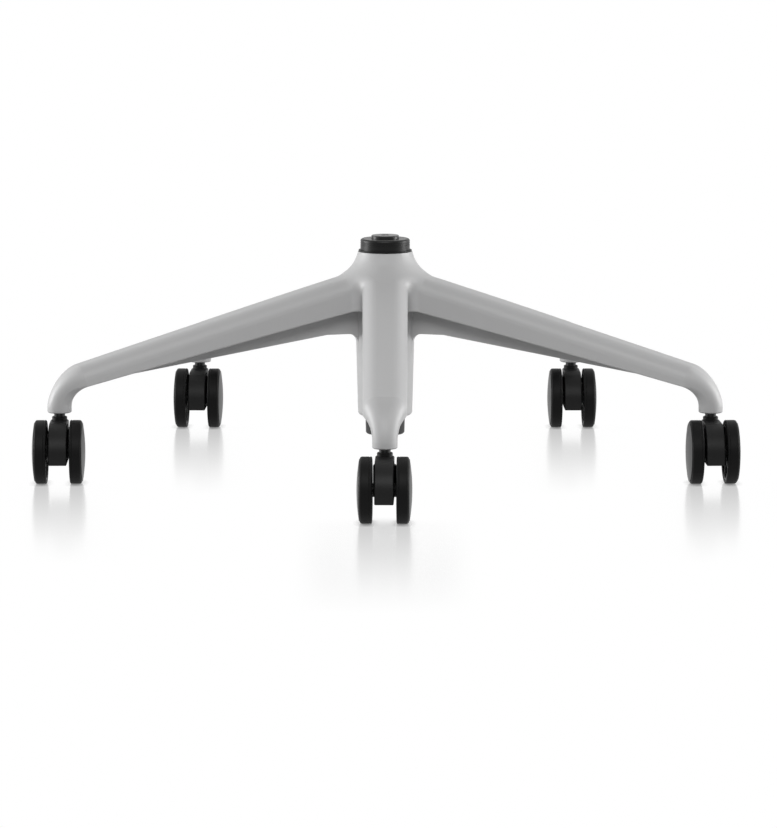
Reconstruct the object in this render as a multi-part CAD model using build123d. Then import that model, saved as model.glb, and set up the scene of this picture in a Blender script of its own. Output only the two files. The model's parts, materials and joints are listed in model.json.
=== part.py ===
from build123d import *
import math
import os

# Five star base of an office chair, standing on its casters, in millimetres.
# +Z is up, the floor is z = 0 and the Z axis is the axis of the hub.
# The front arm points to -Y. Every caster trails towards -Y.

# Star layout
ARM_COUNT = 5
ARM_PITCH = 360.0 / ARM_COUNT
FRONT_ARM_ANGLE = -90.0
PLACES = ("front", "right", "rear_right", "rear_left", "left")
CASTER_HEADINGS = (-1.0, 2.5, 1.0, -2.0, 1.0)
CASTER_CIRCLE_RADIUS = 340.0

# Casters: wheels
WHEEL_RADIUS = 31.5
TREAD_WIDTH = 11.7
TREAD_THICKNESS = 3.0
TREAD_OUTER_CORNER = 2.3
TREAD_INNER_CORNER = 1.2
WHEEL_INNER_FACE = 11.5
RIM_RECESS = 0.4
RIM_THICKNESS = 2.4
WEB_THICKNESS = 2.2
WEB_SETBACK = 3.2
WHEEL_HUB_RADIUS = 7.5
SPOKE_COUNT = 6
SPOKE_THICKNESS = 1.6
COVER_RADIUS = 29.0
COVER_RISE = 3.0
COVER_THICKNESS = 1.5
COVER_EDGE = 0.6
COVER_SKIRT_LENGTH = 3.0
COVER_SKIRT_THICKNESS = 1.2
COVER_SNAP_CLEARANCE = 0.05

# Casters: body, axle and stem
CASTER_TRAIL = 24.0
BODY_WIDTH = 18.2
NOSE_RADIUS = 28.6
BODY_FLOOR_HEIGHT = 21.6
BODY_EDGE_RADIUS = 1.2
HOOD_BACK_INSET = 2.0
BARREL_RADIUS = 11.2
BARREL_FOOT_HEIGHT = 27.5
BARREL_TOP_HEIGHT = 52.5
BARREL_SHOULDER_RADIUS = 2.0
BODY_COLLAR_RADIUS = 7.5
BODY_COLLAR_LENGTH = 3.5
BODY_COLLAR_CHAMFER = 0.5
AXLE_BOSS_RADIUS = 6.5
WHEEL_SIDE_GAP = 0.3
AXLE_RADIUS = 3.0
AXLE_RUNNING_CLEARANCE = 0.05
AXLE_SEAT_CLEARANCE = 0.01
AXLE_END_CHAMFER = 0.5
STEM_RADIUS = 5.5
STEM_INSERTION = 22.2
STEM_FOOT_HEIGHT = 30.5
STEM_FOOT_GAP = 0.3
STEM_RUNNING_CLEARANCE = 0.05
STEM_NOSE_CHAMFER = 1.2
GRIP_RING_WIDTH = 4.0
GRIP_RING_GROOVE_DEPTH = 0.9
GRIP_RING_BELOW_TOP = 5.0
GRIP_RING_SLOT = 2.0
GRIP_RING_SEAT_CLEARANCE = 0.02

# Casting: sockets and bent arm ends
SOCKET_RADIUS = 12.0
SOCKET_ABOVE_BODY = 7.4
SOCKET_EDGE_RADIUS = 1.5
SOCKET_BORE_CLEARANCE = 0.1
SOCKET_BORE_EXTRA_DEPTH = 1.5
SOCKET_POST_LENGTH = 6.5
BEND_INNER_RADIUS = 17.0
BEND_START_ANGLE = 15.0
BEND_STEPS = 5
BEND_CORNER_SLACK = 0.3
BEND_SHOULDER_EASE = 1.8
BEND_EARLINESS = 0.8

# Casting: arms
ARM_WIDTH_AT_AXIS = 45.9
ARM_WIDTH_AT_SOCKET = 41.9
ROOF_ABOVE_BEND_PIVOT = 42.8
ROOF_SLOPE = 0.285
ARM_DEPTH_AT_AXIS = 35.7
SKIRT_SLOPE = 0.238
ARM_ARCH_RISE = 0.4
ARM_TOP_RADIUS = 14.0
ARM_LIP_RADIUS = 1.5
VALLEY_RADIUS = 9.0
WALL_THICKNESS = 4.0
ROOF_THICKNESS = 4.5
POCKET_CORNER_RADIUS = 2.0
POCKET_START_BEYOND_RIM = 6.5
POCKET_END_BEFORE_SOCKET = 42.0
POCKET_COUNT = 4
CROSS_RIB_THICKNESS = 3.0
CENTRE_RIB_THICKNESS = 6.0
CENTRE_RIB_DROP_AT_AXIS = 25.8
CENTRE_RIB_END_BEFORE_SOCKET = 24.5
CENTRE_RIB_KNEE_BEYOND_RIM = 35.2
CENTRE_RIB_ROOT_RADIUS = 10.0

# Casting: hub
HUB_RIM_ABOVE_ROOF = 11.6
HUB_RIM_WALL = 2.5
HUB_NECK_LEAN = 15.0
HUB_NECK_FILLET = 34.0
HUB_LENGTH = 167.0
BOSS_FOOT_WALL = 7.9
BOSS_DRAFT_DEGREES = 1.5
BOSS_EDGE_RADIUS = 4.0

# Gas lift column
COLUMN_RADIUS = 25.0
COLUMN_COLLAR_LENGTH = 13.0
COLUMN_LENGTH = 199.0
COLUMN_TAPER = 5.4
COLUMN_SEAT_CLEARANCE = 0.02
COLUMN_WALL = 2.4
COLUMN_SHOULDER_RADIUS = 2.2
COLUMN_FOOT_CHAMFER = 1.2
COLUMN_RING_DEPTH = 0.6
COLUMN_RING_WIDTH = 0.9
COLUMN_RING_DROPS = (2.9, 5.0)
COLUMN_PLATE_INSET = 6.0
COLUMN_PLATE_THICKNESS = 3.0
TRIM_RING_WIDTH = 1.9
TRIM_RING_THICKNESS = 1.6
TRIM_RING_CLEARANCE = 0.02
BUSH_LENGTH = 78.0
BUSH_TOP_DROP = 0.2
BUSH_SEAT_CLEARANCE = 0.02
GAS_RADIUS = 14.0
GAS_RUNNING_CLEARANCE = 0.05
GAS_STICK_OUT = 3.4
GAS_TOP_CHAMFER = 0.6
GAS_WALL = 1.6
GAS_END_LENGTH = 8.0
GAS_HEAD_LENGTH = 19.0
ROD_RADIUS = 5.0
ROD_RUNNING_CLEARANCE = 0.05
ROD_SHANK_RADIUS = 4.0
ROD_FOOT_INSET = 2.2
PISTON_LENGTH = 12.0
PISTON_RUNNING_CLEARANCE = 0.06
PISTON_TOP_GAP = 2.5
RELEASE_PIN_RADIUS = 4.0
RELEASE_PIN_DROP = 0.5
RELEASE_PIN_LENGTH = 11.0
RELEASE_PIN_TRAVEL = 2.5
RELEASE_SEAT_GAP = 1.0
VALVE_STEM_RADIUS = 2.0
VALVE_RUNNING_CLEARANCE = 0.05
WASHER_RADIUS = 10.5
WASHER_THICKNESS = 1.0
BALL_DIAMETER = 3.0
BALL_COUNT = 10
BALL_CIRCLE_RADIUS = 7.6
BALL_CLEARANCE = 0.02
SPINDLE_GAP = 0.3
BUFFER_RADIUS = 11.0
BUFFER_HEIGHT = 6.66
BUFFER_EDGE_RADIUS = 1.2
CLIP_RADIUS = 7.0
CLIP_THICKNESS = 1.2
CLIP_GROOVE_DEPTH = 0.8
CLIP_SLOT = 4.6
CLIP_PLATE_GAP = 0.3

# Heights and radii worked out from the sizes above, from the floor up to the gas cylinder
AXLE_HEIGHT = WHEEL_RADIUS
BODY_TOP_HEIGHT = AXLE_HEIGHT + NOSE_RADIUS
SOCKET_FOOT_HEIGHT = BODY_TOP_HEIGHT + SOCKET_ABOVE_BODY
STEM_TOP_HEIGHT = SOCKET_FOOT_HEIGHT + STEM_INSERTION
SOCKET_BORE_RADIUS = STEM_RADIUS + SOCKET_BORE_CLEARANCE
BEND_PIVOT_HEIGHT = SOCKET_FOOT_HEIGHT + SOCKET_POST_LENGTH
BEND_PIVOT_RADIUS = CASTER_CIRCLE_RADIUS - BEND_INNER_RADIUS - SOCKET_RADIUS
ROOF_HEIGHT_AT_AXIS = BEND_PIVOT_HEIGHT + ROOF_ABOVE_BEND_PIVOT + ROOF_SLOPE * BEND_PIVOT_RADIUS
SKIRT_HEIGHT_AT_AXIS = ROOF_HEIGHT_AT_AXIS - ARM_DEPTH_AT_AXIS
CENTRE_RIB_HEIGHT_AT_AXIS = SKIRT_HEIGHT_AT_AXIS - CENTRE_RIB_DROP_AT_AXIS
CENTRE_RIB_END_RADIUS = CASTER_CIRCLE_RADIUS - SOCKET_RADIUS - CENTRE_RIB_END_BEFORE_SOCKET
CENTRE_RIB_SLOPE = SKIRT_SLOPE - CENTRE_RIB_DROP_AT_AXIS / CENTRE_RIB_END_RADIUS
HUB_RIM_HEIGHT = ROOF_HEIGHT_AT_AXIS + HUB_RIM_ABOVE_ROOF
HUB_RIM_RADIUS = COLUMN_RADIUS + HUB_RIM_WALL
BOSS_FOOT_HEIGHT = HUB_RIM_HEIGHT - HUB_LENGTH
COLUMN_TOP_HEIGHT = HUB_RIM_HEIGHT + COLUMN_COLLAR_LENGTH
COLUMN_FOOT_HEIGHT = COLUMN_TOP_HEIGHT - COLUMN_LENGTH
COLUMN_FOOT_RADIUS = COLUMN_RADIUS - COLUMN_TAPER
COLUMN_BORE_RADIUS = COLUMN_RADIUS - COLUMN_WALL
COLUMN_PLATE_BOTTOM = COLUMN_FOOT_HEIGHT + COLUMN_PLATE_INSET
POCKET_START_RADIUS = HUB_RIM_RADIUS + POCKET_START_BEYOND_RIM
POCKET_END_RADIUS = CASTER_CIRCLE_RADIUS - SOCKET_RADIUS - POCKET_END_BEFORE_SOCKET
GAS_TOP_HEIGHT = COLUMN_TOP_HEIGHT + GAS_STICK_OUT
LARGE = 3.0 * CASTER_CIRCLE_RADIUS


def roof_height(radius):
    """Height of the top of the arms at a distance from the hub axis."""
    return ROOF_HEIGHT_AT_AXIS - ROOF_SLOPE * radius


def skirt_height(radius):
    """Height of the lower edge of the arms' side walls."""
    return SKIRT_HEIGHT_AT_AXIS - SKIRT_SLOPE * radius


def centre_rib_height(radius):
    """Height of the lower edge of an arm's central rib."""
    return CENTRE_RIB_HEIGHT_AT_AXIS - CENTRE_RIB_SLOPE * radius


def boss_radius(height):
    """Outside radius of the drafted boss under the hub."""
    foot = COLUMN_FOOT_RADIUS + BOSS_FOOT_WALL
    return foot + (height - BOSS_FOOT_HEIGHT) * math.tan(math.radians(BOSS_DRAFT_DEGREES))


def arm_half_width(radius):
    """Half the width of an arm, which narrows towards its socket."""
    share = radius / CASTER_CIRCLE_RADIUS
    return (ARM_WIDTH_AT_AXIS + (ARM_WIDTH_AT_SOCKET - ARM_WIDTH_AT_AXIS) * share) / 2


def column_outer_radius(height):
    """The column is straight above the hub's rim and tapers below it."""
    share = min(1.0, (height - COLUMN_FOOT_HEIGHT) / (HUB_RIM_HEIGHT - COLUMN_FOOT_HEIGHT))
    return COLUMN_FOOT_RADIUS + (COLUMN_RADIUS - COLUMN_FOOT_RADIUS) * share


def turned(*points):
    """A solid of revolution about Z from a half section given as (radius, height) points."""
    section = make_face(Polyline(*[(radius, 0, height) for radius, height in points], close=True))
    return revolve(section, Axis.Z)


def rod(radius, low, high):
    """An upright round bar."""
    return Pos(0, 0, low) * Cylinder(radius, high - low, align=(Align.CENTER, Align.CENTER, Align.MIN))


def tube(inner, outer, low, high):
    """An upright round tube."""
    return rod(outer, low, high) - rod(inner, low - 1, high + 1)


def around_hub(shape):
    """One copy of a shape for each arm."""
    return [Rot(0, 0, index * ARM_PITCH) * shape for index in range(ARM_COUNT)]


def star_plan():
    """Plan of the five arms, with round valleys between them."""
    arm = make_face(Polyline(
        (0, -arm_half_width(0)),
        (CASTER_CIRCLE_RADIUS, -arm_half_width(CASTER_CIRCLE_RADIUS)),
        (CASTER_CIRCLE_RADIUS, arm_half_width(CASTER_CIRCLE_RADIUS)),
        (0, arm_half_width(0)),
        close=True,
    ))
    star = Sketch() + around_hub(arm)
    valleys = star.vertices().filter_by(lambda corner: corner.center().length < CASTER_CIRCLE_RADIUS / 2)
    return fillet(valleys, VALLEY_RADIUS)


def neck_corner():
    """Where the leaning neck of the hub would meet the roof line of the arms."""
    lean = math.tan(math.radians(HUB_NECK_LEAN))
    radius = HUB_RIM_RADIUS + lean * (HUB_RIM_HEIGHT - ROOF_HEIGHT_AT_AXIS)
    radius = radius / (1 - lean * ROOF_SLOPE)
    return radius, roof_height(radius)


def arched_line(start, end):
    """A line of the arms' side view, which rises a little above the straight way between its ends."""
    middle = [(first + last) / 2 for first, last in zip(start, end)]
    return Bezier(start, (middle[0], middle[1], middle[2] + 2 * ARM_ARCH_RISE), end)


def flared_disc():
    """The hub's flare and the roof of the arms as one solid of revolution."""
    radius, height = neck_corner()
    corner = (radius, 0, height)
    rim = (HUB_RIM_RADIUS, 0, HUB_RIM_HEIGHT)
    end = CASTER_CIRCLE_RADIUS + SOCKET_RADIUS
    roof_end = (end, 0, roof_height(end))
    skirt_end = (end, 0, skirt_height(end))
    skirt_start = (0, 0, skirt_height(0))
    outline = [
        Polyline(skirt_start, (0, 0, HUB_RIM_HEIGHT), rim, corner),
        arched_line(corner, roof_end),
        Line(roof_end, skirt_end),
        arched_line(skirt_end, skirt_start),
    ]
    section = make_face(outline)
    neck = section.vertices().sort_by_distance(corner)[0]
    section = fillet(neck, HUB_NECK_FILLET)
    return Rot(0, 0, ARM_PITCH / 2) * revolve(section, Axis.Z)


def offset_from_arm(point):
    """Distance of a point from the centre line of the nearest arm."""
    bearing = math.degrees(math.atan2(point.Y, point.X)) % ARM_PITCH
    bearing = min(bearing, ARM_PITCH - bearing)
    return math.hypot(point.X, point.Y) * math.sin(math.radians(bearing))


def wall_edges(solid, upper):
    """Edges along the arms' side walls, at the roof or at the skirt."""
    picked = []
    for edge in solid.edges():
        middle = edge @ 0.5
        radius = math.hypot(middle.X, middle.Y)
        half_depth = (roof_height(radius) - skirt_height(radius)) / 2
        above = middle.Z - skirt_height(radius) - half_depth
        on_wall = offset_from_arm(middle) > arm_half_width(radius) * 0.8
        if on_wall and (above > half_depth / 2 if upper else above < -half_depth / 2):
            picked.append(edge)
    return picked


def bend_plane(angle):
    """Cross-section plane of the bend, turned by an angle about the bend's pivot line."""
    turn = math.radians(angle)
    return Plane(
        origin=(BEND_PIVOT_RADIUS, 0, BEND_PIVOT_HEIGHT),
        x_dir=(0, 1, 0),
        z_dir=(math.cos(turn), 0, -math.sin(turn)),
    )


def bend_reach(angle, height_at_axis, slope):
    """Distance from the bend's pivot to a sloping line of the arm, along the plane at an angle."""
    turn = math.radians(angle)
    above = height_at_axis - slope * BEND_PIVOT_RADIUS - BEND_PIVOT_HEIGHT
    return above / (math.cos(turn) + slope * math.sin(turn))


def eased(share):
    """Smooth change from 0 to 1, a little ahead of the middle."""
    early = share ** BEND_EARLINESS
    return early * early * (3 - 2 * early)


def bend_section(share):
    """Rounded section of the bend: an arm's profile at 0 that has become the round socket at 1."""
    change = eased(share)
    angle = BEND_START_ANGLE + (90 - BEND_START_ANGLE) * share
    start_inner = bend_reach(BEND_START_ANGLE, SKIRT_HEIGHT_AT_AXIS, SKIRT_SLOPE)
    start_outer = bend_reach(BEND_START_ANGLE, ROOF_HEIGHT_AT_AXIS, ROOF_SLOPE)
    start_width = 2 * arm_half_width(BEND_PIVOT_RADIUS)
    round_corner = SOCKET_RADIUS - BEND_CORNER_SLACK
    inner = start_inner + (BEND_INNER_RADIUS - start_inner) * change
    outer = start_outer + (BEND_INNER_RADIUS + 2 * SOCKET_RADIUS - start_outer) * change
    outer -= BEND_SHOULDER_EASE * math.sin(math.pi * share)
    width = start_width + (2 * SOCKET_RADIUS - start_width) * change
    top_corner = ARM_TOP_RADIUS + (round_corner - ARM_TOP_RADIUS) * change
    lip_corner = ARM_LIP_RADIUS + (round_corner - ARM_LIP_RADIUS) * change
    top_corner = min(top_corner, (outer - inner) - lip_corner - BEND_CORNER_SLACK)
    profile = Pos(0, (inner + outer) / 2) * Rectangle(width, outer - inner)
    by_height = profile.vertices().sort_by(Axis.Y)
    profile = fillet(by_height[2:], top_corner)
    lip = profile.vertices().sort_by(Axis.Y)[:2]
    profile = fillet(lip, lip_corner)
    return bend_plane(angle) * profile


def round_section():
    """The socket's circle, in as many arcs as the other sections of the bend have edges."""
    centre = (0, BEND_INNER_RADIUS + SOCKET_RADIUS)
    narrow = 2 * math.degrees(math.asin(BEND_CORNER_SLACK / SOCKET_RADIUS))
    arcs = []
    for quarter in range(4):
        start = quarter * 90 - narrow / 2
        arcs.append(CenterArc(centre, SOCKET_RADIUS, start, narrow))
        arcs.append(CenterArc(centre, SOCKET_RADIUS, start + narrow, 90 - narrow))
    return (bend_plane(90) * make_face(arcs)).faces()[0]


def bent_end(arm_end):
    """The end of an arm, which bends down from the arm's own section to the socket."""
    sections = [arm_end]
    for step in range(1, BEND_STEPS):
        sections.append(bend_section(step / BEND_STEPS).faces()[0])
    sections.append(round_section())
    return loft(sections)


def socket_post():
    """The round foot of an arm, over the caster's stem."""
    post = rod(SOCKET_RADIUS, SOCKET_FOOT_HEIGHT, BEND_PIVOT_HEIGHT)
    foot = post.edges().sort_by(Axis.Z)[0]
    return Pos(CASTER_CIRCLE_RADIUS, 0, 0) * fillet(foot, SOCKET_EDGE_RADIUS)


def socket_bore():
    """The blind hole for the caster's stem."""
    top = STEM_TOP_HEIGHT + SOCKET_BORE_EXTRA_DEPTH
    return Pos(CASTER_CIRCLE_RADIUS, 0, 0) * rod(SOCKET_BORE_RADIUS, SOCKET_FOOT_HEIGHT - 1, top)


def centre_rib():
    """The deep rib along the middle of an arm, which runs into the boss."""
    knee = HUB_RIM_RADIUS + CENTRE_RIB_KNEE_BEYOND_RIM
    root_height = centre_rib_height(knee)
    root = boss_radius(root_height)
    end = CENTRE_RIB_END_RADIUS
    inside = COLUMN_RADIUS
    low = root_height - 2 * CENTRE_RIB_ROOT_RADIUS
    points = (
        (inside, low),
        (boss_radius(low), low),
        (root, root_height),
        (knee, root_height),
        (end, centre_rib_height(end)),
        (end, roof_height(end) - ROOF_THICKNESS),
        (inside, roof_height(inside) - ROOF_THICKNESS),
    )
    side = make_face(Polyline(*[(radius, 0, height) for radius, height in points], close=True))
    corner = side.vertices().sort_by_distance((root, 0, root_height))[0]
    side = fillet(corner, CENTRE_RIB_ROOT_RADIUS)
    return extrude(side, CENTRE_RIB_THICKNESS / 2, both=True)


def pocket_plans():
    """Plans of the weight-saving pockets on one side of an arm's central rib."""
    pitch = (POCKET_END_RADIUS - POCKET_START_RADIUS + CROSS_RIB_THICKNESS) / POCKET_COUNT
    plans = []
    for index in range(POCKET_COUNT):
        near = POCKET_START_RADIUS + index * pitch
        far = near + pitch - CROSS_RIB_THICKNESS
        plans.append(make_face(Polyline(
            (near, CENTRE_RIB_THICKNESS / 2),
            (far, CENTRE_RIB_THICKNESS / 2),
            (far, arm_half_width(far) - WALL_THICKNESS),
            (near, arm_half_width(near) - WALL_THICKNESS),
            close=True,
        )))
    return plans


def arm_pockets():
    """The pockets under one arm, cut up to the underside of the roof."""
    end = CASTER_CIRCLE_RADIUS
    side = make_face(Polyline(
        (0, 0, 0),
        (end, 0, 0),
        (end, 0, roof_height(end) - ROOF_THICKNESS),
        (0, 0, roof_height(0) - ROOF_THICKNESS),
        close=True,
    ))
    under_roof = extrude(side, ARM_WIDTH_AT_AXIS, both=True)
    pockets = []
    for plan in pocket_plans():
        beside_rib = plan.vertices().sort_by(Axis.Y)[:2]
        pocket = extrude(fillet(beside_rib, POCKET_CORNER_RADIUS), LARGE) & under_roof
        pocket = pocket.solids()[0]
        top = pocket.faces().sort_by(Axis.Z)[-1]
        outer = top.edges().sort_by(lambda edge: (edge @ 0.5).Y)[-1]
        pocket = fillet(outer, ARM_TOP_RADIUS - WALL_THICKNESS)
        pockets += [pocket, mirror(pocket, Plane.XZ)]
    return pockets


def hub_boss():
    """The drafted boss under the hub that holds the column's lower half."""
    top = skirt_height(0)
    boss = turned(
        (0, BOSS_FOOT_HEIGHT),
        (boss_radius(BOSS_FOOT_HEIGHT), BOSS_FOOT_HEIGHT),
        (boss_radius(top), top),
        (0, top),
    )
    foot = boss.edges().filter_by(GeomType.CIRCLE).sort_by(Axis.Z)[0]
    return fillet(foot, BOSS_EDGE_RADIUS)


def column_bore():
    """The tapered hole through the hub that grips the column."""
    low = BOSS_FOOT_HEIGHT - 1
    high = HUB_RIM_HEIGHT + 1
    return turned(
        (0, low),
        (column_outer_radius(low) + COLUMN_SEAT_CLEARANCE, low),
        (COLUMN_RADIUS + COLUMN_SEAT_CLEARANCE, HUB_RIM_HEIGHT),
        (COLUMN_RADIUS + COLUMN_SEAT_CLEARANCE, high),
        (0, high),
    )


def base_casting():
    """The one-piece die casting: hub, boss, five channel arms and their sockets."""
    body = (extrude(star_plan(), LARGE) & flared_disc()).solids()[0]
    body = fillet(wall_edges(body, False), ARM_LIP_RADIUS)
    body = fillet(wall_edges(body, True), ARM_TOP_RADIUS)
    beyond = bend_plane(BEND_START_ANGLE) * extrude(Rectangle(LARGE / 4, LARGE / 2), LARGE / 2)
    body = body - around_hub(beyond)
    middle = bend_reach(BEND_START_ANGLE, SKIRT_HEIGHT_AT_AXIS, SKIRT_SLOPE) + ARM_TOP_RADIUS
    on_cut = bend_plane(BEND_START_ANGLE).from_local_coords((0, middle, 0))
    arm_end = body.faces().sort_by_distance(on_cut)[0]
    body = body + around_hub(bent_end(arm_end)) + around_hub(socket_post())
    body = body + hub_boss()
    body = body - [copy for pocket in arm_pockets() for copy in around_hub(pocket)]
    body = body + around_hub(centre_rib())
    body = body - column_bore() - around_hub(socket_bore())
    return Rot(0, 0, FRONT_ARM_ANGLE) * body


def column_tube():
    """The outer tube of the gas lift: straight collar, tapered seat and a pierced bottom plate."""
    floor = COLUMN_PLATE_BOTTOM + COLUMN_PLATE_THICKNESS
    bush_foot = COLUMN_TOP_HEIGHT - BUSH_TOP_DROP - BUSH_LENGTH
    outside = turned(
        (0, COLUMN_FOOT_HEIGHT),
        (COLUMN_FOOT_RADIUS, COLUMN_FOOT_HEIGHT),
        (COLUMN_RADIUS, HUB_RIM_HEIGHT),
        (COLUMN_RADIUS, COLUMN_TOP_HEIGHT),
        (0, COLUMN_TOP_HEIGHT),
    )
    shoulder = outside.edges().filter_by(GeomType.CIRCLE).sort_by(Axis.Z)[-1]
    outside = fillet(shoulder, COLUMN_SHOULDER_RADIUS)
    foot = outside.edges().filter_by(GeomType.CIRCLE).sort_by(Axis.Z)[0]
    outside = chamfer(foot, COLUMN_FOOT_CHAMFER)
    inside = turned(
        (0, floor),
        (column_outer_radius(floor) - COLUMN_WALL, floor),
        (column_outer_radius(bush_foot) - COLUMN_WALL, bush_foot),
        (COLUMN_BORE_RADIUS, bush_foot),
        (COLUMN_BORE_RADIUS, COLUMN_TOP_HEIGHT + 1),
        (0, COLUMN_TOP_HEIGHT + 1),
    )
    recess_radius = COLUMN_FOOT_RADIUS - COLUMN_WALL
    recess = rod(recess_radius, COLUMN_FOOT_HEIGHT - 1, COLUMN_PLATE_BOTTOM)
    spindle_hole = rod(ROD_SHANK_RADIUS + ROD_RUNNING_CLEARANCE, COLUMN_FOOT_HEIGHT, floor + 1)
    grooves = []
    for drop in COLUMN_RING_DROPS:
        top = COLUMN_TOP_HEIGHT - drop
        grooves.append(tube(COLUMN_RADIUS - COLUMN_RING_DEPTH, COLUMN_RADIUS + 1, top - COLUMN_RING_WIDTH, top))
    return outside - inside - recess - spindle_hole - grooves


def trim_ring():
    """The thin ring between the column's collar and the hub's rim."""
    inner = COLUMN_RADIUS + TRIM_RING_CLEARANCE
    outer = COLUMN_RADIUS + TRIM_RING_WIDTH
    return tube(inner, outer, HUB_RIM_HEIGHT, HUB_RIM_HEIGHT + TRIM_RING_THICKNESS)


def guide_bush():
    """The long plastic bush that guides the gas cylinder inside the column."""
    top = COLUMN_TOP_HEIGHT - BUSH_TOP_DROP
    outer = COLUMN_BORE_RADIUS - BUSH_SEAT_CLEARANCE
    return tube(GAS_RADIUS + GAS_RUNNING_CLEARANCE, outer, top - BUSH_LENGTH, top)


def bearing_floor():
    """Height of the column's bottom plate, on which the bearing stands."""
    return COLUMN_PLATE_BOTTOM + COLUMN_PLATE_THICKNESS


def bearing_top():
    """Height of the top of the upper bearing washer."""
    return bearing_floor() + 2 * WASHER_THICKNESS + BALL_DIAMETER + 2 * BALL_CLEARANCE


def thrust_bearing():
    """Two washers with a ring of balls between them, under the rod's shoulder."""
    inner = ROD_SHANK_RADIUS + ROD_RUNNING_CLEARANCE
    floor = bearing_floor()
    top = bearing_top()
    pieces = [
        tube(inner, WASHER_RADIUS, floor, floor + WASHER_THICKNESS),
        tube(inner, WASHER_RADIUS, top - WASHER_THICKNESS, top),
    ]
    ball_height = (floor + top) / 2
    for index in range(BALL_COUNT):
        turn = Rot(0, 0, index * 360.0 / BALL_COUNT)
        pieces.append(turn * Pos(BALL_CIRCLE_RADIUS, 0, ball_height) * Sphere(BALL_DIAMETER / 2))
    return Compound(children=pieces)


def gas_foot_height():
    """Height of the gas cylinder's lower end at the lowest seat position."""
    return bearing_top() + BUFFER_HEIGHT + SPINDLE_GAP


def rubber_buffer():
    """The rubber ring that stops the cylinder at its lowest position."""
    low = bearing_top()
    ring = tube(ROD_RADIUS + SPINDLE_GAP, BUFFER_RADIUS, low, low + BUFFER_HEIGHT)
    rims = ring.edges().filter_by(GeomType.CIRCLE).sort_by(SortBy.RADIUS)[-2:]
    return fillet(rims, BUFFER_EDGE_RADIUS)


def chamber_top():
    """Height of the top of the gas chamber."""
    return GAS_TOP_HEIGHT - GAS_HEAD_LENGTH


def piston_rod():
    """The rod with its piston head, which stands on the bearing and stays down as the seat rises."""
    shoulder = bearing_top() + SPINDLE_GAP
    piston_top = chamber_top() - PISTON_TOP_GAP
    piston_radius = GAS_RADIUS - GAS_WALL - PISTON_RUNNING_CLEARANCE
    shaft = rod(ROD_SHANK_RADIUS, COLUMN_FOOT_HEIGHT + ROD_FOOT_INSET, shoulder)
    shaft = shaft + rod(ROD_RADIUS, shoulder, piston_top)
    shaft = shaft + rod(piston_radius, piston_top - PISTON_LENGTH, piston_top)
    groove_top = COLUMN_PLATE_BOTTOM - CLIP_PLATE_GAP
    groove = tube(ROD_SHANK_RADIUS - CLIP_GROOVE_DEPTH, ROD_RADIUS, groove_top - CLIP_THICKNESS, groove_top)
    return shaft - groove


def retaining_clip():
    """The open clip in the rod's groove, under the column's bottom plate."""
    top = COLUMN_PLATE_BOTTOM - CLIP_PLATE_GAP
    clip = tube(ROD_SHANK_RADIUS - CLIP_GROOVE_DEPTH, CLIP_RADIUS, top - CLIP_THICKNESS, top)
    mouth = Pos(0, CLIP_RADIUS, top) * Box(CLIP_SLOT, 2 * CLIP_RADIUS, 4 * CLIP_THICKNESS)
    return clip - mouth


def gas_cylinder():
    """The sliding cylinder with its chamber, rod guide and valve head."""
    low = gas_foot_height()
    body = rod(GAS_RADIUS, low, GAS_TOP_HEIGHT)
    rims = body.edges().filter_by(GeomType.CIRCLE)
    body = chamfer(rims, GAS_TOP_CHAMFER)
    chamber = rod(GAS_RADIUS - GAS_WALL, low + GAS_END_LENGTH, chamber_top())
    guide = rod(ROD_RADIUS + ROD_RUNNING_CLEARANCE, low - 1, low + GAS_END_LENGTH + 1)
    button_floor = release_head_foot() - RELEASE_PIN_TRAVEL - RELEASE_SEAT_GAP
    button_bore = rod(RELEASE_PIN_RADIUS + VALVE_RUNNING_CLEARANCE, button_floor, GAS_TOP_HEIGHT + 1)
    valve_bore = rod(VALVE_STEM_RADIUS + VALVE_RUNNING_CLEARANCE, chamber_top() - 1, button_floor + 1)
    return body - chamber - guide - button_bore - valve_bore


def release_head_foot():
    """Height of the underside of the release pin's head."""
    return GAS_TOP_HEIGHT - RELEASE_PIN_DROP - RELEASE_PIN_LENGTH


def release_pin():
    """The pin that opens the gas valve when it is pressed down."""
    head_foot = release_head_foot()
    foot = chamber_top() + RELEASE_SEAT_GAP
    head = rod(RELEASE_PIN_RADIUS, head_foot, GAS_TOP_HEIGHT - RELEASE_PIN_DROP)
    head = chamfer(head.edges().filter_by(GeomType.CIRCLE).sort_by(Axis.Z)[-1], GAS_TOP_CHAMFER)
    return head + rod(VALVE_STEM_RADIUS, foot, head_foot)


def across(radius, low, high):
    """A round bar along X, from one distance to another."""
    return Pos(low, 0, 0) * Rot(0, 90, 0) * Cylinder(
        radius, high - low, align=(Align.CENTER, Align.CENTER, Align.MIN))


def spun(*points):
    """A solid of revolution about X from a half section given as (distance, radius) points."""
    return revolve(make_face(Polyline(*points, close=True)), Axis.X)


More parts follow.
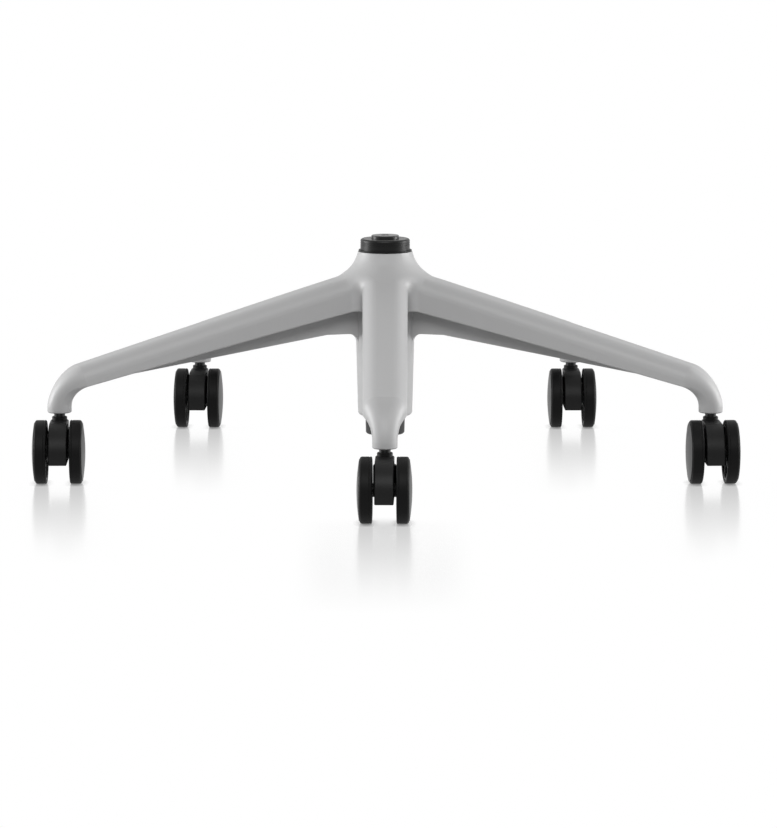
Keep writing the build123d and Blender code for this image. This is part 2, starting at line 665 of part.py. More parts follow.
def wheel_core():
    """The wheel's hub, web, spokes and rim, with its inner face at x = 0."""
    rim_outer = WHEEL_RADIUS - TREAD_THICKNESS
    rim_inner = rim_outer - RIM_THICKNESS
    rim_end = TREAD_WIDTH - RIM_RECESS
    web_end = WEB_SETBACK + WEB_THICKNESS
    hub_end = rim_end - COVER_THICKNESS
    bore = AXLE_RADIUS + AXLE_RUNNING_CLEARANCE
    core = spun(
        (0, bore),
        (hub_end, bore),
        (hub_end, WHEEL_HUB_RADIUS),
        (web_end, WHEEL_HUB_RADIUS),
        (web_end, rim_inner),
        (rim_end, rim_inner),
        (rim_end, rim_outer),
        (RIM_RECESS, rim_outer),
        (RIM_RECESS, rim_inner),
        (WEB_SETBACK, rim_inner),
        (WEB_SETBACK, WHEEL_HUB_RADIUS),
        (0, WHEEL_HUB_RADIUS),
    )
    length = rim_inner - WHEEL_HUB_RADIUS + 1
    spoke_width = WEB_SETBACK - RIM_RECESS + WEB_THICKNESS / 2
    middle = (WHEEL_HUB_RADIUS + rim_inner) / 2
    spoke = Pos(RIM_RECESS + spoke_width / 2, 0, middle) * Box(spoke_width, SPOKE_THICKNESS, length)
    spokes = [Rot(index * 360.0 / SPOKE_COUNT, 0, 0) * spoke for index in range(SPOKE_COUNT)]
    return core + spokes


def wheel_tread():
    """The soft tyre round the wheel."""
    inner = WHEEL_RADIUS - TREAD_THICKNESS
    tread = spun(
        (0, inner),
        (TREAD_WIDTH, inner),
        (TREAD_WIDTH, WHEEL_RADIUS),
        (0, WHEEL_RADIUS),
    )
    rims = tread.edges().filter_by(GeomType.CIRCLE).sort_by(SortBy.RADIUS)[-2:].sort_by(Axis.X)
    tread = fillet(rims[0], TREAD_INNER_CORNER)
    outer = tread.edges().filter_by(GeomType.CIRCLE).filter_by_position(Axis.X, TREAD_WIDTH, TREAD_WIDTH)
    return fillet(outer.sort_by(SortBy.RADIUS)[-1], TREAD_OUTER_CORNER)


def dome_arc(centre, ball, reach):
    """Arc of a dome's section, from a distance off the wheel's axis to the axis itself."""
    return ThreePointArc(*[(centre + math.sqrt(ball ** 2 - off ** 2), off) for off in (reach, reach / 2, 0)])


def wheel_cover():
    """The domed cap on the wheel's outer side, with the skirt that snaps into the rim."""
    face = TREAD_WIDTH
    rise = COVER_RISE - COVER_EDGE
    ball = (COVER_RADIUS ** 2 + rise ** 2) / (2 * rise)
    inner_ball = ball - COVER_THICKNESS
    centre = face + COVER_RISE - ball
    hollow = math.sqrt(inner_ball ** 2 - (face - centre) ** 2)
    skirt_outer = WHEEL_RADIUS - TREAD_THICKNESS - RIM_THICKNESS - COVER_SNAP_CLEARANCE
    skirt_inner = skirt_outer - COVER_SKIRT_THICKNESS
    skirt_end = face - COVER_SKIRT_LENGTH
    underside = Polyline(
        (face, hollow),
        (face, skirt_inner),
        (skirt_end, skirt_inner),
        (skirt_end, skirt_outer),
        (face, skirt_outer),
        (face, COVER_RADIUS),
        (face + COVER_EDGE, COVER_RADIUS),
    )
    middle = Line((centre + ball, 0), (centre + inner_ball, 0))
    outline = [dome_arc(centre, ball, COVER_RADIUS), middle, dome_arc(centre, inner_ball, hollow), underside]
    return revolve(make_face(outline), Axis.X)


def hood_side_view():
    """The housing seen from the side: a round nose, a flat floor and a saddle that reaches over the stem."""
    nose = Pos(-CASTER_TRAIL, AXLE_HEIGHT) * Circle(NOSE_RADIUS)
    saddle_height = BODY_TOP_HEIGHT - AXLE_HEIGHT
    saddle = Pos((BODY_WIDTH / 2 - CASTER_TRAIL) / 2, AXLE_HEIGHT + saddle_height / 2) * Rectangle(
        CASTER_TRAIL + BODY_WIDTH / 2, saddle_height)
    below = Pos(-CASTER_TRAIL, BODY_FLOOR_HEIGHT - NOSE_RADIUS) * Rectangle(4 * NOSE_RADIUS, 2 * NOSE_RADIUS)
    behind = Pos(NOSE_RADIUS - HOOD_BACK_INSET, AXLE_HEIGHT - NOSE_RADIUS) * Rectangle(
        2 * NOSE_RADIUS, 2 * NOSE_RADIUS)
    return nose + saddle - below - behind


def caster_hood():
    """The flat-sided housing, round at the nose from the side and round at the stem from above."""
    length = NOSE_RADIUS + CASTER_TRAIL
    plan = Circle(BODY_WIDTH / 2) + Pos(0, -length / 2) * Rectangle(BODY_WIDTH, length)
    hood = extrude(Plane.YZ * hood_side_view(), BODY_WIDTH, both=True) & extrude(plan, LARGE)
    sides = hood.faces().filter_by(Axis.X).sort_by(Axis.X)
    outline = (sides[0].edges() + sides[-1].edges()).filter_by(Axis.Z, reverse=True)
    outline = outline.filter_by(lambda edge: abs((edge @ 0.5).Z - AXLE_HEIGHT) > BODY_EDGE_RADIUS)
    return fillet(outline, BODY_EDGE_RADIUS)


def caster_barrel():
    """The wide barrel for the stem between the wheels, and the collar above the housing."""
    barrel = rod(BARREL_RADIUS, BARREL_FOOT_HEIGHT, BARREL_TOP_HEIGHT)
    barrel = fillet(barrel.edges().filter_by(GeomType.CIRCLE).sort_by(Axis.Z)[0], BODY_EDGE_RADIUS)
    barrel = fillet(barrel.edges().filter_by(GeomType.CIRCLE).sort_by(Axis.Z)[-1], BARREL_SHOULDER_RADIUS)
    collar = rod(BODY_COLLAR_RADIUS, AXLE_HEIGHT, BODY_TOP_HEIGHT + BODY_COLLAR_LENGTH)
    collar = chamfer(collar.edges().filter_by(GeomType.CIRCLE).sort_by(Axis.Z)[-1], BODY_COLLAR_CHAMFER)
    return barrel + collar


def caster_body():
    """The housing between the wheels, with its axle bosses and the bores for stem and axle."""
    boss_reach = WHEEL_INNER_FACE - WHEEL_SIDE_GAP
    boss = at_axle(across(AXLE_BOSS_RADIUS, -boss_reach, boss_reach))
    stem_bore = rod(STEM_RADIUS + STEM_RUNNING_CLEARANCE, STEM_FOOT_HEIGHT - STEM_FOOT_GAP, LARGE)
    axle_bore = at_axle(across(AXLE_RADIUS + AXLE_SEAT_CLEARANCE, -BODY_WIDTH, BODY_WIDTH))
    return caster_hood() + caster_barrel() + boss - stem_bore - axle_bore


def at_axle(shape):
    """Moves a shape from the origin to the caster's axle."""
    return Pos(0, -CASTER_TRAIL, AXLE_HEIGHT) * shape


def axle_reach():
    """Half the axle's length: it ends inside the wheel covers."""
    return WHEEL_INNER_FACE + TREAD_WIDTH - RIM_RECESS - COVER_THICKNESS


def caster_axle():
    """The steel axle pressed through the body, with a wheel on each end."""
    bar = across(AXLE_RADIUS, -axle_reach(), axle_reach())
    return at_axle(chamfer(bar.edges().filter_by(GeomType.CIRCLE), AXLE_END_CHAMFER))


def grip_ring_span():
    """Lowest and highest height of the stem's grip ring."""
    top = STEM_TOP_HEIGHT - GRIP_RING_BELOW_TOP
    return top - GRIP_RING_WIDTH, top


def caster_stem():
    """The steel stem, with a chamfered nose and the groove of its grip ring."""
    stem = rod(STEM_RADIUS, STEM_FOOT_HEIGHT, STEM_TOP_HEIGHT)
    stem = chamfer(stem.edges().filter_by(GeomType.CIRCLE).sort_by(Axis.Z)[-1], STEM_NOSE_CHAMFER)
    low, high = grip_ring_span()
    return stem - tube(STEM_RADIUS - GRIP_RING_GROOVE_DEPTH, STEM_RADIUS + 1, low, high)


def grip_ring():
    """The split spring ring that holds the stem in its socket."""
    low, high = grip_ring_span()
    inner = STEM_RADIUS - GRIP_RING_GROOVE_DEPTH + GRIP_RING_SEAT_CLEARANCE
    outer = SOCKET_BORE_RADIUS - GRIP_RING_SEAT_CLEARANCE
    slot = Pos(0, STEM_RADIUS, (low + high) / 2) * Box(GRIP_RING_SLOT, 2 * STEM_RADIUS, 2 * GRIP_RING_WIDTH)
    return tube(inner, outer, low, high) - slot


def wheel_on_side(piece, side):
    """Puts a wheel piece on the left (-1) or right (+1) end of the axle."""
    placed = Pos(WHEEL_INNER_FACE, 0, 0) * piece
    if side < 0:
        placed = Rot(0, 0, 180) * placed
    return at_axle(placed)


def caster_pieces():
    """All pieces of one caster, with its stem on the Z axis."""
    pieces = {
        "body": caster_body(),
        "stem": caster_stem(),
        "grip_ring": grip_ring(),
        "axle": caster_axle(),
    }
    for name, make in (("wheel", wheel_core), ("tread", wheel_tread), ("cover", wheel_cover)):
        piece = make()
        pieces["left_" + name] = wheel_on_side(piece, -1)
        pieces["right_" + name] = wheel_on_side(piece, 1)
    return pieces


def caster_place(index):
    """Location of a caster's stem axis, turned to its heading."""
    bearing = math.radians(FRONT_ARM_ANGLE + index * ARM_PITCH)
    x = CASTER_CIRCLE_RADIUS * math.cos(bearing)
    y = CASTER_CIRCLE_RADIUS * math.sin(bearing)
    return Pos(x, y, 0) * Rot(0, 0, CASTER_HEADINGS[index])


def build_all():
    """Every node of the base by name."""
    nodes = {
        "base_casting": base_casting(),
        "column_tube": column_tube(),
        "trim_ring": trim_ring(),
        "guide_bush": guide_bush(),
        "thrust_bearing": thrust_bearing(),
        "rubber_buffer": rubber_buffer(),
        "piston_rod": piston_rod(),
        "retaining_clip": retaining_clip(),
        "gas_cylinder": gas_cylinder(),
        "release_pin": release_pin(),
    }
    pieces = caster_pieces()
    for index, place in enumerate(PLACES):
        for name, piece in pieces.items():
            nodes[f"{place}_caster_{name}"] = caster_place(index) * piece
    return nodes


def write_all(nodes):
    """Writes one STEP file for each node."""
    os.makedirs("parts", exist_ok=True)
    for name, shape in nodes.items():
        export_step(shape, f"parts/{name}.step")
        print(name, round(shape.volume))


write_all(build_all())
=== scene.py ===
# %% [markdown]
# # A five star base for an office chair
# The object is a light grey die-cast star on five black twin-wheel casters, with the collar of
# its gas lift in the middle. The engineering model already gives every piece its true place and
# size, so this lesson adds what a camera sees: finishes, small moulded details, light and a floor.

# %% Load the measured model
import json
import math

import bpy
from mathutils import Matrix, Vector

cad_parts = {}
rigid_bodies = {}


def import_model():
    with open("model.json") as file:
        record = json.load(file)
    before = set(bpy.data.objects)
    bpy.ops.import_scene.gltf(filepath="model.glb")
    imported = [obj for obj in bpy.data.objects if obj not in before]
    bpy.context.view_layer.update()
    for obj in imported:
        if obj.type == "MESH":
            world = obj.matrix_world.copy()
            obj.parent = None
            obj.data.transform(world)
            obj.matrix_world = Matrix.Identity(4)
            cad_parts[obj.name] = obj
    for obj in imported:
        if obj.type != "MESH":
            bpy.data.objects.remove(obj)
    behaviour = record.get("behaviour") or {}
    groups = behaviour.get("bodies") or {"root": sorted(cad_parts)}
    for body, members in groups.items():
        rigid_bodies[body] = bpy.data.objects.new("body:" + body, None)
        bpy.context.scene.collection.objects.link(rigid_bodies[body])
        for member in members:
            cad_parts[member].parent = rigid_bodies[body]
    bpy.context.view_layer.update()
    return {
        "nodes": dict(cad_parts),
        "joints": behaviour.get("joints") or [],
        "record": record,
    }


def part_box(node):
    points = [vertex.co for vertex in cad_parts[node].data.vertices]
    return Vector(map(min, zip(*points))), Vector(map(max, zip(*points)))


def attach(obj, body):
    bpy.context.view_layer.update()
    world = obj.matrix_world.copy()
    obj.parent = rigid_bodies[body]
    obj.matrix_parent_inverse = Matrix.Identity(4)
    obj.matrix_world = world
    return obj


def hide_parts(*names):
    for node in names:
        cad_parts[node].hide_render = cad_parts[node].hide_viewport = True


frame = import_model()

NODES = frame["nodes"]
AXES = {joint["child"]: Vector(joint["axis"]) for joint in frame["joints"]}
PLACES = ("front", "right", "rear_right", "rear_left", "left")
HANDS = ("left", "right")
MM = 0.001
UP = Vector((0, 0, 1))
SCENE = bpy.context.scene.collection.objects
print("nodes:", len(NODES), "moving bodies:", len(AXES))

# %% [markdown]
# ## Camera
# The photograph is taken with a long lens from well back and a little above, so the arms hardly
# shrink with distance. A perspective camera 4.5 m away with a matching long lens does the same.
# The hub's axis stands a few millimetres left of the picture's centre, so the camera is moved
# by that much to the right.

# %% Place the camera
CAMERA_SPOT = Vector((3.4, -4500.0, 707.6)) * MM
CAMERA_PITCH = 8.308
FOCAL_PIXELS = 4470.3
PICTURE_SIZE = (777, 828)
SENSOR_SIZE = 36.0

camera_data = bpy.data.cameras.new("camera")
camera_data.sensor_width = SENSOR_SIZE
camera_data.lens = FOCAL_PIXELS / max(PICTURE_SIZE) * SENSOR_SIZE
camera = bpy.data.objects.new("camera", camera_data)
camera.location = CAMERA_SPOT
camera.rotation_euler = (math.radians(90 - CAMERA_PITCH), 0, 0)
SCENE.link(camera)
bpy.context.scene.camera = camera
bpy.context.scene.view_settings.view_transform = "Standard"
print("lens:", round(camera_data.lens, 2), "mm")

# %% [markdown]
# ## Sums with sockets
# Node trees are easier to read as sums than as boxes and wires. This class wraps one output
# socket. Adding or multiplying two of them adds a Math node, `through` sends one of them through
# a sine or a rounding, and `node` makes any other node: its settings come first, because they
# decide which sockets it has. The same class serves the shader trees and the geometry trees.

# %% A class for sockets
class Wire:
    """One output socket of a node tree, which takes part in sums."""

    def __init__(self, tree, socket=None):
        self.tree = tree
        self.socket = socket

    def node(self, kind, settings=None, sockets=None, output=0):
        """Adds a node, with its settings and then the values or wires of its sockets."""
        made = self.tree.nodes.new(kind)
        for name, value in (settings or {}).items():
            setattr(made, name, value)
        for key, value in (sockets or {}).items():
            if isinstance(value, Wire):
                self.tree.links.new(value.socket, made.inputs[key])
            else:
                made.inputs[key].default_value = value
        return Wire(self.tree, made.outputs[output] if made.outputs else None)

    def beside(self, output):
        """Another output of the node that this socket belongs to."""
        return Wire(self.tree, self.socket.node.outputs[output])

    def maths(self, operation, first, second=0.0):
        kind = "ShaderNodeMath"
        return self.node(kind, {"operation": operation}, {0: first, 1: second})

    def through(self, operation):
        """A sum with one input only, such as COSINE or ROUND."""
        return self.maths(operation, self)

    def __add__(self, other):
        return self.maths("ADD", self, other)

    def __sub__(self, other):
        return self.maths("SUBTRACT", self, other)

    def __rsub__(self, other):
        return self.maths("SUBTRACT", other, self)

    def __mul__(self, other):
        return self.maths("MULTIPLY", self, other)

    def __truediv__(self, other):
        return self.maths("DIVIDE", self, other)

    __radd__ = __add__
    __rmul__ = __mul__


print("sums ready")

# %% [markdown]
# ## What every finish is made of
# A real surface is never one flat colour. Its grey drifts a little, its gloss drifts a little, and
# a fine relief breaks up the highlights. Each helper below makes one of these from a cloud noise.
# Object coordinates are in metres, so a noise scale of 1000 gives features a millimetre wide.

# %% Helpers for finishes
def blank(name):
    """An empty material, and the wire of its Object coordinates."""
    material = bpy.data.materials.new(name)
    material.use_nodes = True
    material.node_tree.nodes.clear()
    return material, Wire(material.node_tree).node("ShaderNodeTexCoord", output="Object")


def noise(place, scale, detail=3.0):
    """A cloud pattern between 0 and 1, with features 1/scale metres across."""
    return place.node("ShaderNodeTexNoise", None, {
        "Vector": place, "Scale": scale, "Detail": detail})


def grey(value, tint=(1.0, 1.0, 1.0)):
    """A colour with alpha, from one brightness and a tint."""
    return (value * tint[0], value * tint[1], value * tint[2], 1.0)


def between(mask, dark, light, tint=(1.0, 1.0, 1.0)):
    """A colour that runs from a dark grey to a light one as the mask runs from 0 to 1."""
    return mask.node("ShaderNodeMix", {"data_type": "RGBA"}, {
        0: mask, 6: grey(dark, tint), 7: grey(light, tint)}, 2)


def relief(height, depth, under=None):
    """A bump of a depth in metres, laid over another bump where one is given."""
    sockets = {"Strength": 1.0, "Distance": depth, "Height": height}
    if under:
        sockets["Normal"] = under
    return height.node("ShaderNodeBump", None, sockets)


def coated(material, place, **sockets):
    """Closes a finish with a Principled shader. In a keyword, _ stands for a socket's space."""
    named = {key.replace("_", " "): value for key, value in sockets.items()}
    shader = place.node("ShaderNodeBsdfPrincipled", None, named)
    place.node("ShaderNodeOutputMaterial", None, {"Surface": shader})
    return material


print("helpers ready")

# %% [markdown]
# ## Powder coat
# The star is die-cast and then sprayed with a light grey powder that is baked on. The powder melts
# into a satin skin with a faint orange peel: waves about three millimetres long and a few
# hundredths high. Under them lies the fine speckle of the powder itself. Two bumps, one over the
# other, give both, and the colour only drifts by a few percent.

# %% Finish of the star
PEEL_SCALE, PEEL_DEPTH = 300.0, 0.000035
SPECKLE_SCALE, SPECKLE_DEPTH = 1700.0, 0.00002
COLOUR_DRIFT_SCALE = 9.0
GLOSS_DRIFT_SCALE = 55.0
POWDER_DARK, POWDER_LIGHT = 0.452, 0.492
POWDER_TINT = (1.0, 1.0, 1.004)
POWDER_ROUGHNESS, POWDER_ROUGHNESS_DRIFT = 0.44, 0.08


def powder_coat():
    """The star's finish: speckle under orange peel."""
    material, place = blank("powder_coat")
    speckle = noise(place, SPECKLE_SCALE, 2.0)
    drift = noise(place, COLOUR_DRIFT_SCALE, 2.0)
    colour = between(speckle * 0.6 + drift * 0.4, POWDER_DARK, POWDER_LIGHT, POWDER_TINT)
    peel = relief(noise(place, PEEL_SCALE, 2.0), PEEL_DEPTH)
    grain = relief(speckle, SPECKLE_DEPTH, peel)
    gloss = POWDER_ROUGHNESS + noise(place, GLOSS_DRIFT_SCALE) * POWDER_ROUGHNESS_DRIFT
    return coated(material, place, Base_Color=colour, Roughness=gloss, Normal=grain)


FINISHES = {"casting": powder_coat()}
print("powder coat ready")

# %% [markdown]
# ## Turned and drawn steel
# The column, the gas cylinder and the rod are round bars and tubes. Their surface was turned or
# drawn, so the fine lines run round them. A noise that is stretched along X and Y hardly changes
# along a ring, only from one ring to the next, and gives those lines to the gloss and the bump.
# The numbers of a finish are its darkest and lightest grey, its roughness and its lines' depth.

# %% Finishes with fine rings
RING_STRETCH = (0.02, 0.02, 1.0)
RING_SCALE = 1600.0
CLOUD_SCALE = 70.0
RING_ROUGHNESS, CLOUD_ROUGHNESS = 0.1, 0.05


def ringed(name, dark, light, gloss, depth, **fixed):
    """A turned or drawn surface round Z."""
    material, place = blank(name)
    stretched = place.node("ShaderNodeVectorMath", {"operation": "MULTIPLY"}, {
        0: place, 1: RING_STRETCH})
    rings = noise(stretched, RING_SCALE, 2.0)
    cloud = noise(place, CLOUD_SCALE)
    colour = between(rings * 0.5 + cloud * 0.5, dark, light)
    roughness = gloss + rings * RING_ROUGHNESS + cloud * CLOUD_ROUGHNESS
    return coated(material, place, Base_Color=colour, Roughness=roughness,
                  Normal=relief(rings, depth), **fixed)


FINISHES["column"] = ringed("column_enamel", 0.002, 0.004, 0.30, 0.000014,
                            Specular_IOR_Level=0.25)
FINISHES["gas_tube"] = ringed("gas_tube", 0.005, 0.008, 0.24, 0.000004,
                              Specular_IOR_Level=0.45)
FINISHES["polished_rod"] = ringed("polished_rod", 0.62, 0.70, 0.06, 0.000002, Metallic=1.0)
FINISHES["stem_steel"] = ringed("black_zinc", 0.03, 0.05, 0.26, 0.000008, Metallic=1.0)
FINISHES["bearing_steel"] = ringed("bearing_steel", 0.48, 0.56, 0.14, 0.000004, Metallic=1.0)
print("finishes so far:", len(FINISHES))

# %% [markdown]
# ## Moulded black plastics
# Hood, wheels and covers are black nylon, and the tyres are a softer black. Moulds for such parts
# are etched, so the plastic has a grain like very fine leather. The hood's grain is the coarsest,
# the covers are smoother, and the tyres are the dullest. One recipe takes these as its numbers:
# darkest and lightest grey, roughness, pits to the metre, and their depth.

# %% Finishes with an etched grain
PIT_SMOOTHNESS = 0.6
FLOW_SCALE = 45.0
FINE_TO_PITS = 2.5
FINE_DEPTH_SHARE = 0.4
FLOW_ROUGHNESS = 0.08


def etched(name, dark, light, gloss, scale, depth, **fixed):
    """A moulded surface with the grain of an etched mould."""
    material, place = blank(name)
    pits = place.node("ShaderNodeTexVoronoi", {"feature": "SMOOTH_F1"}, {
        "Vector": place, "Scale": scale, "Smoothness": PIT_SMOOTHNESS}, "Distance")
    flow = noise(place, FLOW_SCALE)
    fine = noise(place, scale * FINE_TO_PITS, 2.0)
    colour = between(fine * 0.5 + flow * 0.5, dark, light)
    roughness = gloss - FLOW_ROUGHNESS / 2 + flow * FLOW_ROUGHNESS
    bumps = relief(fine, depth * FINE_DEPTH_SHARE, relief(pits, depth))
    return coated(material, place, Base_Color=colour, Roughness=roughness,
                  Normal=bumps, **fixed)


FINISHES["caster_housing"] = etched("hood_nylon", 0.006, 0.010, 0.46, 900.0, 0.00006,
                                    Specular_IOR_Level=0.16)
FINISHES["wheel_core"] = etched("wheel_nylon", 0.006, 0.009, 0.45, 1100.0, 0.00003,
                                Specular_IOR_Level=0.22)
FINISHES["wheel_cover"] = etched("cover_nylon", 0.006, 0.010, 0.38, 1500.0, 0.000015,
                                 Specular_IOR_Level=0.22)
FINISHES["tread"] = etched("soft_tyre", 0.003, 0.005, 0.50, 1200.0, 0.00003,
                           Specular_IOR_Level=0.1)
FINISHES["black_trim"] = etched("black_ring", 0.004, 0.007, 0.46, 1200.0, 0.00002,
                                Specular_IOR_Level=0.18)
FINISHES["bush"] = etched("bush_acetal", 0.030, 0.042, 0.38, 900.0, 0.00001)
FINISHES["buffer_rubber"] = etched("buffer_rubber", 0.014, 0.024, 0.74, 700.0, 0.00006,
                                   Specular_IOR_Level=0.2)
FINISHES["release_button"] = etched("pin_steel", 0.30, 0.38, 0.40, 900.0, 0.00001,
                                    Metallic=1.0)
print("finishes:", len(FINISHES))

# %% [markdown]
# ## Dress the model
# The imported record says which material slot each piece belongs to, so one loop dresses them all.

# %% Dress the nodes
for row in frame["record"]["subparts"]:
    slots = NODES[row["node"]].data.materials
    slots.clear()
    slots.append(FINISHES[row["material_slot"]])
print("dressed:", len(NODES))

# %% [markdown]
# ## Geometry trees
# Details that repeat are grown by Geometry Nodes. A tree has named inputs, like the knobs of a
# machine, so the same tree can make many pieces of different sizes. The helper below makes a tree
# with its inputs, and `grow` runs it on a few seed points and keeps the outcome as a plain mesh,
# which can then ride on its body. Inputs are set by their sockets' identifiers, before the tree
# runs for the first time.

# %% Helpers for geometry trees
def new_tree(name, inputs):
    """A geometry tree with inputs {label: socket type}, and the wire of each of them."""
    tree = bpy.data.node_groups.new(name, "GeometryNodeTree")
    for label, kind in {"Geometry": "NodeSocketGeometry", **inputs}.items():
        tree.interface.new_socket(label, in_out="INPUT", socket_type=kind)
    tree.interface.new_socket("Geometry", in_out="OUTPUT", socket_type="NodeSocketGeometry")
    entry = tree.nodes.new("NodeGroupInput")
    return tree, {label: Wire(tree, entry.outputs[label]) for label in ("Geometry", *inputs)}


def close_tree(geometry, material):
    """Makes instances real, gives the material and leads the result out of the tree."""
    solid = geometry.node("GeometryNodeRealizeInstances", None, {"Geometry": geometry})
    dressed = geometry.node("GeometryNodeSetMaterial", None, {
        "Geometry": solid, "Material": material})
    geometry.node("NodeGroupOutput", None, {"Geometry": dressed})


def grow(name, points, tree, values):
    """Runs a tree on seed points, and keeps the result as a plain mesh."""
    mesh = bpy.data.meshes.new(name + "_seed")
    mesh.from_pydata([tuple(point) for point in points], [], [])
    seed = bpy.data.objects.new(name + "_seed", mesh)
    SCENE.link(seed)
    modifier = seed.modifiers.new("grow", "NODES")
    modifier.node_group = tree
    for item in tree.interface.items_tree:
        if item.in_out == "INPUT" and item.name in values:
            modifier[item.identifier] = values[item.name]
    shape = seed.evaluated_get(bpy.context.evaluated_depsgraph_get())
    piece = bpy.data.objects.new(name, bpy.data.meshes.new_from_object(shape))
    SCENE.link(piece)
    bpy.data.objects.remove(seed)
    bpy.data.meshes.remove(mesh)
    return piece


print("tree helpers ready")

# %% [markdown]
# ## Tyres
# Each wheel has a soft tyre moulded round its rim. Its section is a low rectangle with a generous
# outer corner, a small inner one, and a fine groove near the inner edge, where the mould parts.
# A short straight step beside each corner keeps the shading of the flat faces flat.

# %% The section of a tyre
TYRE_RADIUS = 31.5
TYRE_DEPTH = 3.0
TYRE_WIDTH = 11.7
INNER_CORNER = 1.2
OUTER_CORNER = 2.3
CORNER_STEPS = 6
GROOVE_FROM_EDGE = 2.1
GROOVE_WIDTH = 0.7
GROOVE_DEPTH = 0.35
GROOVE_LIP = 0.12
EDGE_STEP = 0.3


def corner(centre_x, radius, start, end):
    """A rounded corner at the crown, as points (along the axle, away from the axle)."""
    centre_r = TYRE_RADIUS - radius
    turns = [start + (end - start) * step / CORNER_STEPS for step in range(CORNER_STEPS + 1)]
    return [(centre_x + radius * math.cos(math.radians(turn)),
             centre_r + radius * math.sin(math.radians(turn))) for turn in turns]


def tyre_section():
    """The tyre's closed section, from its inner face round over the crown."""
    bottom = TYRE_RADIUS - TYRE_DEPTH
    floor = TYRE_RADIUS - GROOVE_DEPTH
    lip = TYRE_RADIUS - GROOVE_LIP / 2
    near, far = GROOVE_FROM_EDGE, GROOVE_FROM_EDGE + GROOVE_WIDTH
    middle = near + GROOVE_WIDTH / 2
    outer = TYRE_WIDTH - OUTER_CORNER
    section = [(0, bottom), (0, bottom + EDGE_STEP)]
    section += corner(INNER_CORNER, INNER_CORNER, 180, 90)
    section += [(near - GROOVE_LIP, TYRE_RADIUS), (near, lip)]
    section += [(middle - GROOVE_LIP, floor), (middle + GROOVE_LIP, floor)]
    section += [(far, lip), (far + GROOVE_LIP, TYRE_RADIUS)]
    section += [(far + 3 * GROOVE_LIP, TYRE_RADIUS), (outer - EDGE_STEP, TYRE_RADIUS)]
    section += corner(outer, OUTER_CORNER, 90, 0)
    section += [(TYRE_WIDTH, bottom + EDGE_STEP), (TYRE_WIDTH, bottom)]
    section += [(TYRE_WIDTH - EDGE_STEP, bottom), (EDGE_STEP, bottom), (0, bottom)]
    return [Vector((x, 0, r)) * MM for x, r in section]


TYRE_SECTION = tyre_section()
print("points in the section:", len(TYRE_SECTION))

# %% [markdown]
# ### A lathe made of nodes
# A tyre is a turned shape, so its tree is a lathe. A flat grid has one column for each point of
# the section and one row for each step round the axle. Sample Index looks up the section point of
# each column, and a sine and a cosine wrap the rows round. The grid's ends meet and are welded,
# its faces are flipped so that they look outwards, and Side mirrors the section for the other
# wheel of a caster.

# %% The lathe
WELD_DISTANCE = 0.000001


def lathe_tree():
    """Turns seed points (along the axle, 0, away from it) into a closed ring."""
    tree, given = new_tree("lathe", {
        "Section Points": "NodeSocketInt", "Steps": "NodeSocketInt",
        "Side": "NodeSocketFloat", "Turn": "NodeSocketVector",
        "Centre": "NodeSocketVector", "Material": "NodeSocketMaterial"})
    steps, side = given["Steps"], given["Side"]
    last_point = given["Section Points"] - 1
    grid = steps.node("GeometryNodeMeshGrid", None, {
        "Size X": last_point, "Size Y": steps,
        "Vertices X": given["Section Points"], "Vertices Y": steps + 1})
    position = grid.node("GeometryNodeInputPosition")
    spot = grid.node("ShaderNodeSeparateXYZ", None, {0: position})
    column = (spot + last_point * 0.5).through("ROUND")
    point = grid.node("GeometryNodeSampleIndex", {"data_type": "FLOAT_VECTOR"}, {
        "Geometry": given["Geometry"], "Value": position, "Index": column})
    section = grid.node("ShaderNodeSeparateXYZ", None, {0: point})
    away = section.beside("Z")
    turn = spot.beside("Y") / steps * side * (2 * math.pi)
    wrapped = grid.node("ShaderNodeCombineXYZ", None, {
        0: section * side, 1: away * turn.through("COSINE"), 2: away * turn.through("SINE")})
    ring = grid.node("GeometryNodeSetPosition", None, {"Geometry": grid, "Position": wrapped})
    welded = grid.node("GeometryNodeMergeByDistance", None, {
        "Geometry": ring, "Distance": WELD_DISTANCE})
    outwards = grid.node("GeometryNodeFlipFaces", None, {"Mesh": welded})
    smooth = grid.node("GeometryNodeSetShadeSmooth", None, {
        "Geometry": outwards, "Shade Smooth": True})
    placed = grid.node("GeometryNodeTransform", None, {
        "Geometry": smooth, "Rotation": given["Turn"], "Translation": given["Centre"]})
    close_tree(placed, given["Material"])
    return tree


LATHE = lathe_tree()
print("lathe nodes:", len(LATHE.nodes))

# %% [markdown]
# ### Ten tyres in place
# The ten tyres stand exactly where the model has them. The model's own tyre gives the middle, the
# rolling joint gives the axle's direction, and the two together say which face looks outwards.

# %% Ten tyres
TYRE_STEPS = 120


def wheel_facts(place, hand):
    """A wheel's body, its axle's direction, the side it lies on and its inner face's middle."""
    body = f"{place}_caster_{hand}_wheel"
    axle = AXES[body].normalized()
    low, high = (Vector(point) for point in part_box(f"{place}_caster_{hand}_tread"))
    middle = (low + high) / 2
    home = sum((Vector(point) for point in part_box(f"{place}_caster_axle")), Vector()) / 2
    side = 1.0 if (middle - home).dot(axle) > 0 else -1.0
    inner = middle - axle * side * TYRE_WIDTH / 2 * MM
    return body, axle, side, inner


for place in PLACES:
    for hand in HANDS:
        body, axle, side, inner = wheel_facts(place, hand)
        tyre = grow(f"{place}_{hand}_tyre", TYRE_SECTION, LATHE, {
            "Section Points": len(TYRE_SECTION), "Steps": TYRE_STEPS, "Side": side,
            "Turn": (0.0, 0.0, math.atan2(axle.y, axle.x)), "Centre": tuple(inner),
            "Material": FINISHES["tread"]})
        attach(tyre, body)
        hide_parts(f"{place}_caster_{hand}_tread")
print("faces of one tyre:", len(tyre.data.polygons))

